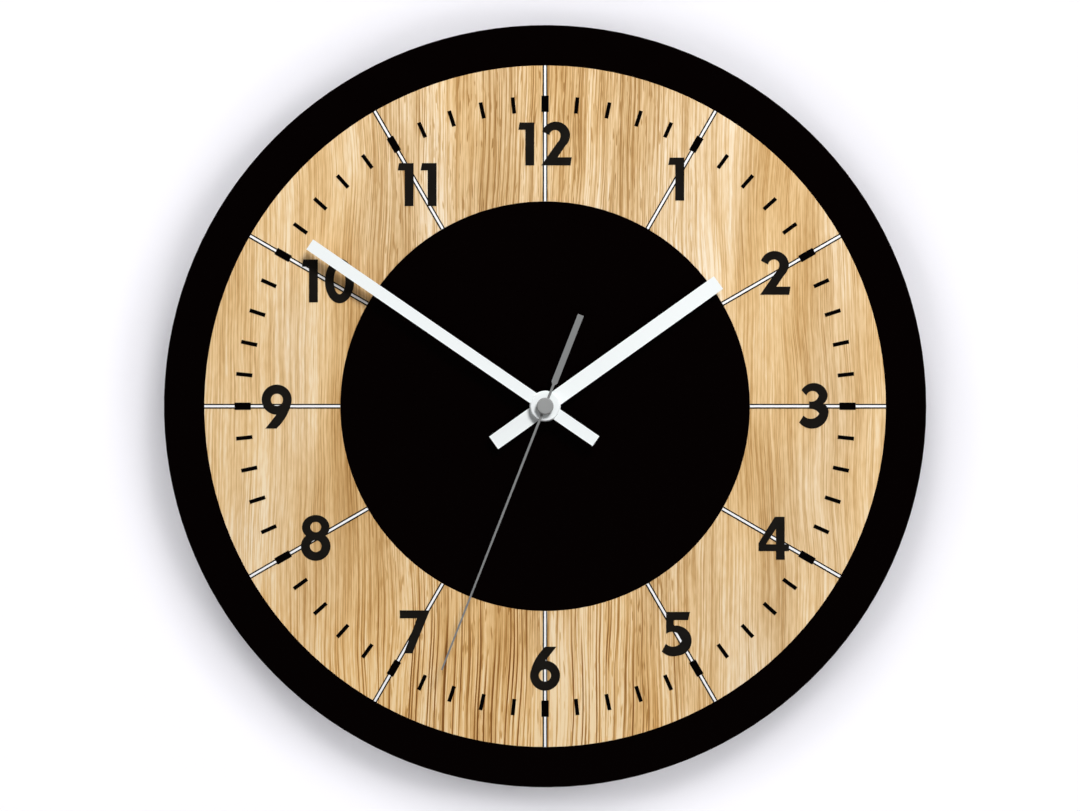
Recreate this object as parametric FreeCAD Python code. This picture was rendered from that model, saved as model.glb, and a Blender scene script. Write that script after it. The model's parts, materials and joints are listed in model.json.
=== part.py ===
"""Round quartz wall clock: layered dial board, three hands, geared step movement, hanger and cell.

Everything is drawn in dial axes: x to the right, y up, z away from the wall towards the reader,
with the hands turning about x = y = 0 and the wall at z = 0. save() carries a shape into the
clock's own frame, +Z up and the reader at -Y, whose origin is where the nail meets the wall.
All sizes are millimetres, all angles degrees clockwise from twelve unless a name says otherwise.
"""

import FreeCAD
import Part
import math
import os

V = FreeCAD.Vector

# ---- dial board --------------------------------------------------------------------------
clock_radius = 150.0
rim_width = 15.8
centre_disc_radius = 80.5
panel_thickness = 3.0        # black back panel
layer_thickness = 3.0        # rim ring, oak dial and centre disc, side by side
saw_kerf = 0.12              # gap the cutter leaves between two layers' edges
edge_break = 0.35            # softened outer edges

# ---- printing on the dial ----------------------------------------------------------------
ink_height = 0.12
tick_margin = 12.0           # from the rim's inner edge to the tick marks
tick_length = 6.4
tick_width = 1.5
block_width = 2.85           # the wide mark at each hour
hour_line_width = 0.86       # white core of an hour line
hour_line_edge = 0.5         # dark edge on each side of it
cap_height = 16.9
digit_gap = 2.8              # between the two digits of 10, 11 and 12
numeral_inset = {12: 12.6, 1: 12.6, 2: 11.2, 3: 10.1, 4: 11.9, 5: 12.2,   # tick marks to middle
                 6: 12.4, 7: 13.3, 8: 11.6, 9: 10.2, 10: 17.2, 11: 15.1}

# ---- hands -------------------------------------------------------------------------------
hour_hand_angle, hour_hand_length, hour_hand_tail, hour_hand_width = 54.5, 83.6, 24.8, 6.1
minute_hand_angle, minute_hand_length, minute_hand_tail, minute_hand_width = 304.5, 112.0, 24.2, 4.7
second_hand_angle, second_hand_length, second_hand_tail = 201.4, 111.0, 38.4
hand_thickness = 0.5
second_hand_thickness = 0.3
hour_boss_radius = 6.1
minute_boss_radius = 5.85
boss_height = 1.3            # boss of a hand, rear of the blade to the boss's face
boss_round = 0.5             # its rounded front edge
second_eye_radius = 2.2
second_neck_width = 0.95
second_tip_width = 0.66
second_tail_width = 2.45
second_tail_start = 9.0      # where the tail starts to widen
second_tail_flare = 1.0      # length over which it widens
cap_radius = 3.33
cap_height_z = 1.7
cap_bevel = 0.45
collar_wall = 1.3            # brass collar of a hand, around its tube
collar_height = 1.1
hand_gap = 0.4               # between one hand's tube and the next collar
tube_proud = 0.2             # tube standing out of its hand's boss

# ---- cell and its bay --------------------------------------------------------------------
cell_radius = 7.1
cell_length = 50.2
cell_nub_radius = 2.75
cell_nub_length = 1.3
cell_cap_depth = 0.5
bay_play = 0.25              # around the cell
cell_setback = 0.5           # cell's rear line in from the wall plane
contact_room = 1.5           # at each end of the cell
contact_thickness = 0.3
contact_half_width = 3.4
contact_end_play = 0.1
tail_width = 1.6             # strip from a contact to the board

# ---- movement case -----------------------------------------------------------------------
wall = 1.2
partition = 1.0
cover_play = 0.15            # around the rear cover
corner_radius = 3.0
wheel_side_play = 0.8        # wheel tips and knob well to the chamber's lower wall
post_radius = 1.6
snap_half, snap_thickness, snap_hook, snap_play = 2.5, 0.8, 1.2, 0.15
snap_spread = 14.0           # the two top tabs, each side of the middle
snap_side_y = 14.0           # the side tabs above the hands' axis
snap_top = 4.4               # front end of the hooks
mark_width, mark_depth = 0.8, 0.3
mark_half_angle, mark_head_angle = 50.0, 14.0
polarity_size, polarity_inset = 3.2, 3.0    # the plus and minus over the cell bay

# ---- tubes, arbors and their bearings ----------------------------------------------------
seconds_arbor_radius = 0.5
minute_tube_bore = 0.62
minute_tube_radius = 1.75
hour_tube_bore = 1.82
hour_tube_radius = 2.55
arbor_radius = 0.5
bearing_play = 0.04
bearing_wall = 0.9
bearing_depth = 1.2
pivot_reach = 1.6            # rear pivots below the level of the knob well's floor
press_play = 0.01
bush_bore_play = 0.06
bush_radius = 4.0
bush_thread_depth = 0.38
bush_pitch = 0.75
bush_flange_radius = 5.4
bush_flange_thickness = 0.8
bush_hole_play = 0.2         # holes of the board and hanger around the bush
bush_proud = 0.7             # thread standing out of the nut

# ---- gear train --------------------------------------------------------------------------
pressure_angle = math.radians(20.0)
addendum = 0.85
dedendum = 1.25
flank_play = 0.02            # taken off each flank at the pitch circle
wheel_thickness = 1.0
thin_wheel = 0.8
wheel_gap = 0.4              # along the axis, between wheels that pass each other
rotor_teeth, rotor_wheel_teeth = 10, 50
step_pinion_teeth, seconds_teeth = 10, 60
seconds_pinion_teeth, third_teeth = 8, 60
third_pinion_teeth, centre_teeth = 8, 64
cannon_teeth, minute_work_teeth = 15, 45
minute_pinion_teeth, hour_teeth = 12, 48
setting_teeth = 20
rotor_module = 0.2
step_distance = 8.0          # axis of the hands to the intermediate wheel
pass_by = 0.3                # between an arbor and a wheel's tips
small_shift, middle_shift, motion_shift = 0.4, 0.3, 0.2
third_bearing, step_bearing, motion_bearing, knob_bearing = 110.0, 0.0, 250.0, 270.0

# ---- setting knob ------------------------------------------------------------------------
knob_radius = 5.6
knob_height = 3.0
knob_setback = 0.4
knob_play = 0.7
knob_ribs = 24
knob_rib_depth = 0.35
knob_arbor_radius = 1.2

# ---- motor -------------------------------------------------------------------------------
magnet_radius, magnet_height = 2.7, 3.0
stator_hole_radius, stator_thickness = 3.3, 0.8
stator_half_width, stator_leg_width, stator_margin = 17.0, 4.6, 1.3
core_width, core_thickness = 4.0, 0.8
winding_radius, winding_length = 3.4, 19.0
flange_radius, flange_thickness = 3.9, 1.0
coil_play = 0.3
lead_radius = 0.15

# ---- circuit -----------------------------------------------------------------------------
board_width, board_height, board_thickness = 14.6, 23.0, 1.0
crystal_radius, crystal_length = 1.0, 6.0
chip_radius, chip_height = 2.4, 0.9

# ---- hanger and fixing -------------------------------------------------------------------
hanger_thickness = 0.8
hanger_base_width = 30.0
hanger_below = 12.0          # plate below the hands' axis
tongue_width = 20.0
tongue_setback = 8.0         # rear face of the tongue from the wall
tongue_gap = 1.2             # tongue's web above the case
keyhole_radius = 4.25
keyhole_rise = 8.3           # web to the round hole's middle
nail_slot_width = 3.6
nail_slot_rise = 7.5         # round hole's middle to the top of the slot
tongue_crown = 7.0           # metal above the slot
cushion_radius = 13.0
cushion_thickness = 0.8
washer_radius = 6.0
washer_thickness = 0.5
nut_across_flats = 10.0
nut_height = 2.2
nut_play = 0.03


# ---- sizes worked out from those above ---------------------------------------------------
def pair_module(distance, teeth_a, teeth_b):
    return 2 * distance / (teeth_a + teeth_b)


def tip_radius(teeth, module, shift):
    return module * (teeth / 2 + addendum + shift)


def on_dial(angle, radius):
    """Point at that many degrees clockwise from twelve."""
    a = math.radians(angle)
    return V(radius * math.sin(a), radius * math.cos(a), 0)


rim_inner_radius = clock_radius - rim_width
tick_outer = rim_inner_radius - tick_margin
tick_inner = tick_outer - tick_length
hole_radius = bush_radius + bush_hole_play

step_module = pair_module(step_distance, step_pinion_teeth, seconds_teeth)
rotor_distance = rotor_module * (rotor_teeth + rotor_wheel_teeth) / 2
third_distance = tip_radius(seconds_teeth, step_module, -small_shift) + arbor_radius + pass_by
third_module = pair_module(third_distance, seconds_pinion_teeth, third_teeth)
centre_module = pair_module(third_distance, third_pinion_teeth, centre_teeth)
motion_distance = tip_radius(centre_teeth, centre_module, -small_shift) + arbor_radius + 3 * pass_by
motion_module = pair_module(motion_distance, cannon_teeth, minute_work_teeth)
setting_distance = motion_module * (setting_teeth + minute_work_teeth) / 2

step_axis = on_dial(step_bearing, step_distance)
rotor_axis = step_axis + on_dial(step_bearing, rotor_distance)
third_axis = on_dial(third_bearing, third_distance)
minute_work_axis = on_dial(motion_bearing, motion_distance)
knob_axis = minute_work_axis + on_dial(knob_bearing, setting_distance)

# Levels, from the wall forward.
well_floor_rear = knob_setback + knob_height + wheel_gap
well_floor_front = well_floor_rear + wall
seconds_wheel_z = well_floor_front + wheel_gap
step_wheel_z = seconds_wheel_z + wheel_thickness + wheel_gap
third_wheel_z = step_wheel_z + 0.2
centre_wheel_z = third_wheel_z + thin_wheel + 3 * wheel_gap
clutch_z = centre_wheel_z + thin_wheel
minute_work_z = clutch_z + wheel_gap
hour_wheel_z = minute_work_z + wheel_thickness + 2 * wheel_gap
case_inner_front = max(hour_wheel_z + wheel_thickness + 2 * wheel_gap + bush_flange_thickness,
                       cell_setback + 2 * cell_radius + bay_play)
case_depth = case_inner_front + wall
magnet_z = step_wheel_z + thin_wheel + 2 * wheel_gap
stator_z = magnet_z + (magnet_height - stator_thickness) / 2
core_z = stator_z + stator_thickness
coil_z = core_z + core_thickness / 2
board_z = core_z + core_thickness + wheel_gap

hanger_z = case_depth
cushion_z = hanger_z + hanger_thickness
panel_z = cushion_z + cushion_thickness
layer_z = panel_z + panel_thickness
face_z = layer_z + layer_thickness
nut_z = face_z + washer_thickness
bush_end = nut_z + nut_height + bush_proud
hour_hand_z = bush_end + 0.5 + collar_height
hour_tube_end = hour_hand_z + boss_height + tube_proud
minute_hand_z = hour_tube_end + hand_gap + collar_height
minute_tube_end = minute_hand_z + boss_height + tube_proud
second_hand_z = minute_tube_end + 2 * hand_gap
cap_z = second_hand_z + second_hand_thickness + 0.3
arbor_end = cap_z + cap_height_z - 0.7

# Plan of the case.
chamber_bottom = min(third_axis.y - tip_radius(third_teeth, third_module, -small_shift),
                     minute_work_axis.y - tip_radius(minute_work_teeth, motion_module, -motion_shift),
                     knob_axis.y - knob_radius - knob_play - wall) - wheel_side_play
bay_top = chamber_bottom - partition
bay_bottom = bay_top - 2 * (cell_radius + bay_play)
case_bottom = bay_bottom - wall
coil_y = rotor_axis.y + stator_hole_radius + 1.5 + flange_radius
chamber_top = coil_y + flange_radius + coil_play
case_top = chamber_top + wall
well_outer = knob_radius + knob_play + wall
half_room = max(cell_length / 2 + contact_room, well_outer - knob_axis.x + 2 * cover_play)
case_half_width = half_room + wall
post_inset = post_radius + 0.8
beside_third = third_axis.x + tip_radius(third_teeth, third_module, -small_shift) + post_inset + pass_by
above_well = knob_axis.y + well_outer + post_radius + 2 * pass_by
cell_y = (bay_top + bay_bottom) / 2
cell_z = cell_setback + cell_radius
board_left = half_room - board_width - 0.2
board_bottom = chamber_bottom + 5.0

# Plan of the hanger; the nail bears on the top of its slot.
web_y = case_top + tongue_gap
keyhole_y = web_y + keyhole_rise
nail_y = keyhole_y + nail_slot_rise


# ---- building blocks ---------------------------------------------------------------------
def disc(radius, z0, z1, at=V(0, 0, 0)):
    return Part.makeCylinder(radius, z1 - z0, V(at.x, at.y, z0))


def ring(outer, inner, z0, z1, at=V(0, 0, 0)):
    return disc(outer, z0, z1, at).cut(disc(inner, z0 - 1, z1 + 1, at))


def slab(x0, x1, y0, y1, z0, z1):
    return Part.makeBox(x1 - x0, y1 - y0, z1 - z0, V(x0, y0, z0))


def rounded_slab(x0, x1, y0, y1, z0, z1, radius):
    box = slab(x0, x1, y0, y1, z0, z1)
    upright = [e for e in box.Edges if abs(e.Vertexes[0].Z - e.Vertexes[-1].Z) > 1e-6]
    return box.makeFillet(radius, upright)


def plate(points, z0, z1):
    """Flat-sided prism on a closed outline of (x, y) points."""
    corners = [V(x, y, z0) for x, y in points]
    return Part.Face(Part.makePolygon(corners + corners[:1])).extrude(V(0, 0, z1 - z0))


def outline(start, *steps):
    """Closed face: a step of one point is a line to it, of two is an arc through the first to the second."""
    edges, here = [], V(*start, 0)
    for step in list(steps) + [(start,)]:
        there = V(*step[-1], 0)
        if here.distanceToPoint(there) < 1e-7:
            continue
        if len(step) == 2:
            edges.append(Part.Arc(here, V(*step[0], 0), there).toShape())
        else:
            edges.append(Part.makeLine(here, there))
        here = there
    return Part.Face(Part.Wire(edges))


def oval(x, y, half_width, half_height):
    """Face of a circle or an ellipse; Part.Ellipse takes the longer half first, whichever way it lies."""
    if half_width == half_height:
        return Part.Face(Part.Wire([Part.makeCircle(half_width, V(x, y, 0))]))
    long_half, short_half = max(half_width, half_height), min(half_width, half_height)
    edge = Part.Ellipse(V(x, y, 0), long_half, short_half).toShape()
    if half_height > half_width:
        edge.rotate(V(x, y, 0), V(0, 0, 1), 90)
    return Part.Face(Part.Wire([edge]))


def turned(shape, angle, at=V(0, 0, 0)):
    """Turned clockwise, as a hand turns."""
    copy = shape.copy()
    copy.rotate(V(at.x, at.y, 0), V(0, 0, 1), -angle)
    return copy


def broken_edges(shape, amount, z, radius=None):
    """Chamfers the round edges at height z, or only those of one radius."""
    edges = [e for e in shape.Edges if hasattr(e.Curve, "Radius") and len(e.Vertexes) == 1
             and abs(e.Vertexes[0].Z - z) < 1e-6 and (radius is None or abs(e.Curve.Radius - radius) < 1e-6)]
    return shape.makeChamfer(amount, edges) if edges else shape


def save(name, shape):
    """Writes one sub-part, carried from dial axes into the clock's frame."""
    solids = [s for s in shape.Solids]
    assert solids and all(s.isValid() for s in solids), name
    placed = Part.makeCompound(solids) if len(solids) > 1 else solids[0]
    placed = placed.copy()
    placed.rotate(V(0, 0, 0), V(1, 0, 0), 90)
    placed.translate(V(0, 0, -nail_y))
    placed.exportStep(os.path.join("parts", name + ".step"))


# ---- gears -------------------------------------------------------------------------------
def half_tooth_angle(radius, teeth, module, shift):
    """Half the angle that an involute tooth fills at a radius, less the flank play."""
    base = module * teeth / 2 * math.cos(pressure_angle)
    reach = math.acos(min(1.0, base / radius))
    pitch_angle = math.pi / (2 * teeth) + 2 * shift * math.tan(pressure_angle) / teeth
    spread = math.tan(pressure_angle) - pressure_angle - (math.tan(reach) - reach)
    return pitch_angle + spread - 2 * flank_play / (module * teeth)


def gear(teeth, module, shift, z0, z1, phase, at=V(0, 0, 0)):
    """Spur gear with a tooth's middle at phase, in radians anticlockwise from +x."""
    root = module * (teeth / 2 - dedendum + shift)
    base = module * teeth / 2 * math.cos(pressure_angle)
    tip = tip_radius(teeth, module, shift)
    low = max(root, base)
    radii = [root] if root < base else []
    radii += [low, (low + tip) / 2, tip]
    points = []
    for tooth in range(teeth):
        middle = phase + 2 * math.pi * tooth / teeth
        flank = [(r, half_tooth_angle(max(r, base), teeth, module, shift)) for r in radii]
        for r, half in [(r, -half) for r, half in flank] + [(r, half) for r, half in reversed(flank)]:
            points.append((at.x + r * math.cos(middle + half), at.y + r * math.sin(middle + half)))
    return plate(points, z0, z1)


def mesh_phase(driver_at, driver_teeth, driver_phase, at, teeth):
    """Phase that sets a gear's gap on the driver's tooth along their line of centres."""
    line = math.atan2(at.y - driver_at.y, at.x - driver_at.x)
    turn = driver_teeth * (line - driver_phase) / (2 * math.pi)
    return line + math.pi - 2 * math.pi / teeth * (0.5 - turn)


def pivoted(z0, z1, at, radius=arbor_radius):
    return disc(radius, z0, z1, at)


def bearing(z0, z1, open_front, at, radius=arbor_radius):
    """Boss from z0 to z1 and the blind hole in its open end."""
    boss = disc(radius + bearing_wall, z0, z1, at)
    if open_front:
        hole = disc(radius + bearing_play, z1 - bearing_depth, z1 + 1, at)
    else:
        hole = disc(radius + bearing_play, z0 - 1, z0 + bearing_depth, at)
    return boss, hole


# ---- dial board --------------------------------------------------------------------------
def back_panel():
    board = ring(clock_radius, hole_radius, panel_z, layer_z)
    return broken_edges(board, edge_break, panel_z, clock_radius)


def rim_ring():
    rim = ring(clock_radius, rim_inner_radius, layer_z, face_z)
    return broken_edges(rim, edge_break, face_z, clock_radius)


def oak_dial():
    return ring(rim_inner_radius - saw_kerf, centre_disc_radius + saw_kerf, layer_z, face_z)


def centre_disc():
    return ring(centre_disc_radius, hole_radius, layer_z, face_z)


def radial_bar(angle, inner, outer, x0, x1):
    return turned(slab(x0, x1, inner, outer, face_z, face_z + ink_height), angle)


def hour_block(hour):
    return radial_bar(30 * hour, tick_inner, tick_outer, -block_width / 2, block_width / 2)


def minute_ticks():
    return Part.makeCompound([radial_bar(6 * minute, tick_inner, tick_outer, -tick_width / 2, tick_width / 2)
                              for minute in range(60) if minute % 5])


def hour_line(hour, numeral, x0, x1):
    """A strip of an hour line from the centre disc to the rim, left out under the block and numeral."""
    strip = radial_bar(30 * hour, centre_disc_radius + saw_kerf, rim_inner_radius - saw_kerf, x0, x1)
    return strip.cut(hour_block(hour)).cut(numeral)


# ---- numerals: outlines on a grid whose cap height is 100 --------------------------------
def figure_1():
    return outline((3, 100), ((37, 100),), ((37, 0),), ((16.3, 0),), ((16.3, 83),), ((0, 83),)), 37


def figure_2():
    face = outline((2, 79), ((34, 102), (67, 73)), ((64.5, 58), (55.5, 45)), ((38, 19),), ((71, 19),),
                   ((68, 0),), ((0, 0),), ((37, 53),), ((44.5, 66), (44.5, 74)), ((32.5, 82.5), (19, 70.5)))
    return face, 71


def figure_3():
    face = outline((5.6, 87.3), ((37, 104), (66.3, 79)), ((64.5, 66), (56.5, 55.8)), ((66, 47), (68, 31)),
                   ((33, -2), (0, 12)), ((10.2, 28.5),), ((31, 21), (46.8, 33)), ((38.6, 40.9), (23.2, 43.6)),
                   ((23.2, 61.5),), ((40, 65), (45.5, 75)), ((33.5, 85.5), (16.9, 74.8)))
    return face, 68


def figure_4():
    body = outline((38, 100), ((61, 100),), ((61, 36),), ((71, 36),), ((71, 20),), ((61, 20),), ((61, 0),),
                   ((40.6, 0),), ((40.6, 20),), ((0, 20),), ((0, 39),))
    return body.cut(outline((40.6, 72), ((40.6, 36),), ((17.3, 36),))), 71


def figure_5():
    face = outline((10, 102), ((65.6, 102),), ((61.3, 83),), ((27.8, 83),), ((27.8, 69.5),),
                   ((35, 70.4), (45, 68)), ((69.5, 37), (38, 0.3)), ((18, -0.5), (0, 10)), ((9.5, 28),),
                   ((29, 21.3), (47, 36)), ((36, 52.5), (10, 51)))
    return face, 69.5


def figure_6():
    bowl = oval(35, 34.6, 35, 35)
    tail = outline((0.4, 40), ((11, 70), (35.5, 102)), ((61.5, 102),), ((34.5, 68),), ((34.5, 40),))
    return bowl.fuse(tail).cut(oval(34.5, 35, 14.2, 14.2)), 70


def figure_7():
    return outline((0, 100), ((70, 100),), ((29.5, 0),), ((9.5, 0),), ((40, 81.5),), ((0, 81.5),)), 70


def figure_8():
    bowls = oval(34.5, 32, 34.5, 33.5).fuse(oval(34.5, 76.5, 32, 28.5))
    return bowls.cut(oval(34.5, 32.5, 13.5, 13.8)).cut(oval(34.5, 77, 12.5, 12.2)), 69


def figure_9():
    face, width = figure_6()
    face.rotate(V(width / 2, 50, 0), V(0, 0, 1), 180)
    return face, width


def figure_0():
    return oval(34, 50, 34, 52).cut(oval(34, 50, 13.6, 31)), 68


FIGURES = {"0": figure_0, "1": figure_1, "2": figure_2, "3": figure_3, "4": figure_4,
           "5": figure_5, "6": figure_6, "7": figure_7, "8": figure_8, "9": figure_9}


def numeral(hour):
    """The number's digits side by side, upright, centred on its hour line."""
    grid = cap_height / 100
    drawn = [FIGURES[digit]() for digit in str(hour)]
    total = sum(width for _, width in drawn) * grid + digit_gap * (len(drawn) - 1)
    middle = on_dial(30 * hour, tick_inner - numeral_inset[hour])
    x = middle.x - total / 2
    digits = []
    for face, width in drawn:
        face = face.removeSplitter()
        face.scale(grid, V(0, 0, 0))
        face.translate(V(x, middle.y - cap_height / 2, face_z))
        digits += face.extrude(V(0, 0, ink_height)).Solids
        x += width * grid + digit_gap
    return Part.makeCompound(digits)


# ---- hands -------------------------------------------------------------------------------
def blade(length, tail, width, boss_radius, z, hole):
    """Flat baton with a raised round boss at the tube."""
    bar = slab(-width / 2, width / 2, -tail, length, z, z + hand_thickness)
    front = z + boss_height
    boss = disc(boss_radius, z, front)
    boss = boss.makeFillet(boss_round, [e for e in boss.Edges if abs(e.BoundBox.ZMin - front) < 1e-6])
    return bar.fuse(boss).cut(disc(hole, z - 1, front + 1))


def collar(tube, z):
    """Brass collar: a wide foot behind the blade and a neck through it."""
    foot = disc(tube + collar_wall, z - collar_height, z)
    neck = disc(tube + collar_wall / 2, z, z + boss_height + tube_proud / 2)
    return foot.fuse(neck).removeSplitter().cut(disc(tube + press_play, z - 5, z + 5))


def neck_hole(tube):
    return tube + collar_wall / 2 + press_play


def second_hand():
    half_neck, half_tip, half_tail = second_neck_width / 2, second_tip_width / 2, second_tail_width / 2
    wide = second_tail_start + second_tail_flare
    arm = plate([(-half_tip, second_hand_length), (half_tip, second_hand_length), (half_neck, 0),
                 (half_neck, -second_tail_start), (half_tail, -wide), (half_tail, -second_hand_tail),
                 (-half_tail, -second_hand_tail), (-half_tail, -wide), (-half_neck, -second_tail_start),
                 (-half_neck, 0)], second_hand_z, second_hand_z + second_hand_thickness)
    eye = disc(second_eye_radius, second_hand_z, second_hand_z + second_hand_thickness)
    body = arm.fuse(eye).removeSplitter()
    return body.cut(disc(second_tube_radius() + press_play, second_hand_z - 1, second_hand_z + 1))


def second_tube_radius():
    return seconds_arbor_radius + 0.45


def second_hand_tube():
    return ring(second_tube_radius(), seconds_arbor_radius + press_play, second_hand_z - 0.5, arbor_end + 0.1)


def second_hand_cap():
    body = disc(cap_radius, cap_z, cap_z + cap_height_z)
    body = broken_edges(body, cap_bevel, cap_z + cap_height_z, cap_radius)
    return body.cut(disc(second_tube_radius() + press_play, cap_z - 1, arbor_end + 0.1))


# ---- wheels ------------------------------------------------------------------------------
seconds_phase = 0.0
third_phase = mesh_phase(V(0, 0, 0), seconds_pinion_teeth, 0.0, third_axis, third_teeth)
centre_phase = mesh_phase(third_axis, third_pinion_teeth, 0.0, V(0, 0, 0), centre_teeth)
step_phase = mesh_phase(V(0, 0, 0), seconds_teeth, seconds_phase, step_axis, step_pinion_teeth)
rotor_phase = mesh_phase(step_axis, rotor_wheel_teeth, 0.0, rotor_axis, rotor_teeth)
minute_work_phase = mesh_phase(V(0, 0, 0), cannon_teeth, 0.0, minute_work_axis, minute_work_teeth)
hour_phase = mesh_phase(minute_work_axis, minute_pinion_teeth, 0.0, V(0, 0, 0), hour_teeth)
setting_phase = mesh_phase(minute_work_axis, minute_work_teeth, minute_work_phase, knob_axis, setting_teeth)
rear_pivot_z = well_floor_front - pivot_reach     # rear end of the arbors' pivots
front_pivot_z = case_inner_front - wheel_gap      # and their front end


def seconds_wheel():
    """Seconds wheel and pinion on the long arbor that carries the second hand."""
    wheel = gear(seconds_teeth, step_module, -small_shift, seconds_wheel_z, seconds_wheel_z + wheel_thickness,
                 seconds_phase)
    pinion = gear(seconds_pinion_teeth, third_module, small_shift, seconds_wheel_z + wheel_thickness,
                  third_wheel_z + thin_wheel + wheel_gap, 0.0)
    return wheel.fuse([pinion, disc(seconds_arbor_radius, rear_pivot_z, arbor_end)])


def step_wheel():
    """Intermediate wheel between the rotor and the seconds wheel."""
    wheel = gear(rotor_wheel_teeth, rotor_module, -small_shift, step_wheel_z, step_wheel_z + thin_wheel, 0.0,
                 step_axis)
    pinion = gear(step_pinion_teeth, step_module, small_shift, seconds_wheel_z - wheel_gap / 2, step_wheel_z,
                  step_phase, step_axis)
    return wheel.fuse([pinion, pivoted(rear_pivot_z, front_pivot_z, step_axis)])


def third_wheel():
    wheel = gear(third_teeth, third_module, -small_shift, third_wheel_z, third_wheel_z + thin_wheel,
                 third_phase, third_axis)
    pinion = gear(third_pinion_teeth, centre_module, small_shift, third_wheel_z + thin_wheel,
                  clutch_z + wheel_gap / 2, 0.0, third_axis)
    return wheel.fuse([pinion, pivoted(rear_pivot_z, front_pivot_z, third_axis)])


def centre_wheel():
    wheel = gear(centre_teeth, centre_module, -small_shift, centre_wheel_z, clutch_z, centre_phase)
    return wheel.cut(disc(clutch_bore(), centre_wheel_z - 1, clutch_z + 1))


def clutch_bore():
    return minute_tube_radius - 0.2


def cannon_pinion():
    """Minute tube with its pinion; the centre wheel slips on its waist, between flange and clutch spring."""
    waist = clutch_bore() - bearing_play
    pinion = gear(cannon_teeth, motion_module, motion_shift, minute_work_z - wheel_gap / 4,
                  minute_work_z + wheel_thickness + wheel_gap / 2, 0.0)
    rear_flange = disc(minute_tube_radius + 0.5, centre_wheel_z - 0.45, centre_wheel_z - 0.05)
    body = pinion.fuse([rear_flange, disc(waist, centre_wheel_z - 0.45, minute_work_z),
                        disc(minute_tube_radius, minute_work_z, minute_tube_end)])
    return body.cut(disc(minute_tube_bore, 0, minute_tube_end + 1))


def clutch_spring():
    """Dished washer that presses the centre wheel on the cannon's flange."""
    low, high = clutch_z + 0.05, minute_work_z - wheel_gap / 4
    washer = Part.makeCone(minute_tube_radius + 1.2, minute_tube_radius + 0.5, high - low, V(0, 0, low))
    under = Part.makeCone(minute_tube_radius + 0.9, minute_tube_radius + 0.2, high - low - 0.15, V(0, 0, low))
    return washer.cut(under).cut(disc(clutch_bore() + press_play, low - 1, high + 1))


def minute_work_wheel():
    wheel = gear(minute_work_teeth, motion_module, -motion_shift, minute_work_z,
                 minute_work_z + wheel_thickness, minute_work_phase, minute_work_axis)
    pinion = gear(minute_pinion_teeth, motion_module, middle_shift, minute_work_z + wheel_thickness,
                  hour_wheel_z + wheel_thickness + wheel_gap / 2, 0.0, minute_work_axis)
    return wheel.fuse([pinion, pivoted(rear_pivot_z, front_pivot_z, minute_work_axis)])


def hour_wheel():
    wheel = gear(hour_teeth, motion_module, -middle_shift, hour_wheel_z, hour_wheel_z + wheel_thickness,
                 hour_phase)
    tube = disc(hour_tube_radius, hour_wheel_z - wheel_gap / 4, hour_tube_end)
    shoulder = disc(hour_tube_radius + 1.0, hour_wheel_z, hour_wheel_z + wheel_thickness + wheel_gap)
    return wheel.fuse([tube, shoulder]).cut(disc(hour_tube_bore, 0, hour_tube_end + 1))


def setting_gear():
    wheel = gear(setting_teeth, motion_module, motion_shift, minute_work_z, minute_work_z + wheel_thickness,
                 setting_phase, knob_axis)
    stem = disc(knob_arbor_radius, knob_setback + 1.0, minute_work_z, knob_axis)
    pivot = disc(arbor_radius, minute_work_z, front_pivot_z, knob_axis)
    return wheel.fuse([stem, pivot])


def setting_knob():
    z0, z1 = knob_setback, knob_setback + knob_height
    body = broken_edges(disc(knob_radius, z0, z1, knob_axis), 0.4, z0, knob_radius)
    notch = disc(knob_rib_depth, z0 - 1, z1 + 1, knob_axis + V(knob_radius, 0, 0))
    notches = [turned(notch, 360 / knob_ribs * k, knob_axis) for k in range(knob_ribs)]
    grip = slab(-knob_radius * 0.62, knob_radius * 0.62, -0.55, 0.55, z0 - 1, z0 + 0.8)
    grip.translate(V(knob_axis.x, knob_axis.y, 0))
    socket = disc(knob_arbor_radius + press_play, z0 + 1.0 - 0.05, z1 + 1, knob_axis)
    return body.cut(notches + [grip, socket])


# ---- motor and circuit -------------------------------------------------------------------
def rotor_pinion():
    body = gear(rotor_teeth, rotor_module, small_shift, step_wheel_z - wheel_gap / 2, magnet_z,
                rotor_phase, rotor_axis)
    return body.fuse(pivoted(rear_pivot_z, front_pivot_z, rotor_axis))


def rotor_magnet():
    return ring(magnet_radius, arbor_radius + press_play, magnet_z, magnet_z + magnet_height, rotor_axis)


def stator():
    """Soft-iron plate around the magnet, with two legs up to the coil's core."""
    bottom = rotor_axis.y - stator_hole_radius - stator_margin
    shoulder = coil_y - flange_radius - coil_play
    top = coil_y + core_width / 2
    z0, z1 = stator_z, stator_z + stator_thickness
    inner = stator_half_width - stator_leg_width
    body = slab(-stator_half_width, stator_half_width, bottom, top, z0, z1)
    window = slab(-inner, inner, shoulder, top + 1, z0 - 1, z1 + 1)
    slit = slab(-0.2, 0.2, rotor_axis.y, rotor_axis.y + stator_hole_radius + 0.8, z0 - 1, z1 + 1)
    cuts = [window, disc(stator_hole_radius, z0 - 1, z1 + 1, rotor_axis), slit, turned(slit, 180, rotor_axis)]
    return body.cut(cuts)


def coil_core():
    return slab(-stator_half_width, stator_half_width, coil_y - core_width / 2, coil_y + core_width / 2,
                core_z, core_z + core_thickness)


def along_x(radius, x0, x1, y, z):
    return Part.makeCylinder(radius, x1 - x0, V(x0, y, z), V(1, 0, 0))


def core_passage(play):
    half = winding_length / 2 + flange_thickness + 1
    return slab(-half, half, coil_y - core_width / 2 - play, coil_y + core_width / 2 + play,
                core_z - play, core_z + core_thickness + play)


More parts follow.
